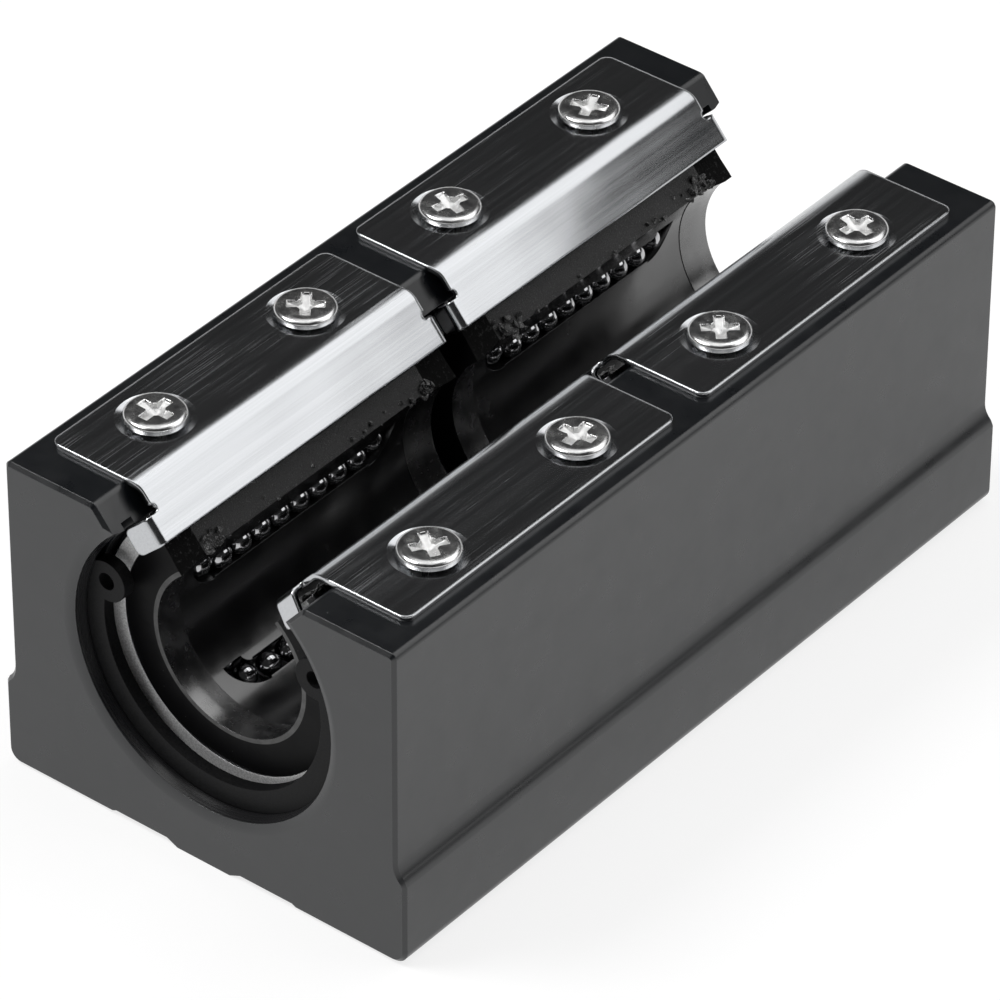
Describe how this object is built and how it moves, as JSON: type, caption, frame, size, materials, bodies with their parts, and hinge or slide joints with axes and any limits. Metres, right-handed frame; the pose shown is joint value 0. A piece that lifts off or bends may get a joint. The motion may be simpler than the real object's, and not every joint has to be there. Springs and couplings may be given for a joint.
{
  "type": "open linear bearing block",
  "caption": "Long open linear ball bearing block with a slotted bore for a rail-supported shaft and a flat mounting face with tapped holes.",
  "frame": {"origin": "centre of the mounting face, at the middle of the block's length", "axes": "+Y along the shaft, from the front end to the rear end; +Z from the mounting face towards the slot; +X across, to the right seen from the front"},
  "size_m": [0.045, 0.085, 0.0344],
  "materials": {
    "black_anodised": "black anodised, fine satin extruded and machined faces",
    "bearing_steel": "ground bearing steel",
    "ball_steel": "polished bearing balls",
    "retainer_plastic": "glossy black moulded resin",
    "seal_rubber": "smooth black rubber",
    "phosphated_spring_steel": "black phosphated, bright sheared inner edge",
    "stainless_sheet": "bright rolled stainless sheet with fine lines",
    "plated_screw": "bright nickel plated"
  },
  "bodies": {
    "root": {"block_body": "black_anodised", "plate_screws": "plated_screw", "front_bearing_shell": "bearing_steel", "front_ball_retainer": "retainer_plastic", "front_bearing_front_seal": "seal_rubber", "front_bearing_rear_seal": "seal_rubber", "front_ball_circuit_1": "ball_steel", "front_ball_circuit_2": "ball_steel", "front_ball_circuit_3": "ball_steel", "front_ball_circuit_4": "ball_steel", "front_circlip": "phosphated_spring_steel", "front_left_plate": "stainless_sheet", "front_right_plate": "stainless_sheet", "rear_bearing_shell": "bearing_steel", "rear_ball_retainer": "retainer_plastic", "rear_bearing_front_seal": "seal_rubber", "rear_bearing_rear_seal": "seal_rubber", "rear_ball_circuit_1": "ball_steel", "rear_ball_circuit_2": "ball_steel", "rear_ball_circuit_3": "ball_steel", "rear_ball_circuit_4": "ball_steel", "rear_circlip": "phosphated_spring_steel", "rear_left_plate": "stainless_sheet", "rear_right_plate": "stainless_sheet"}
  },
  "joints": []
}
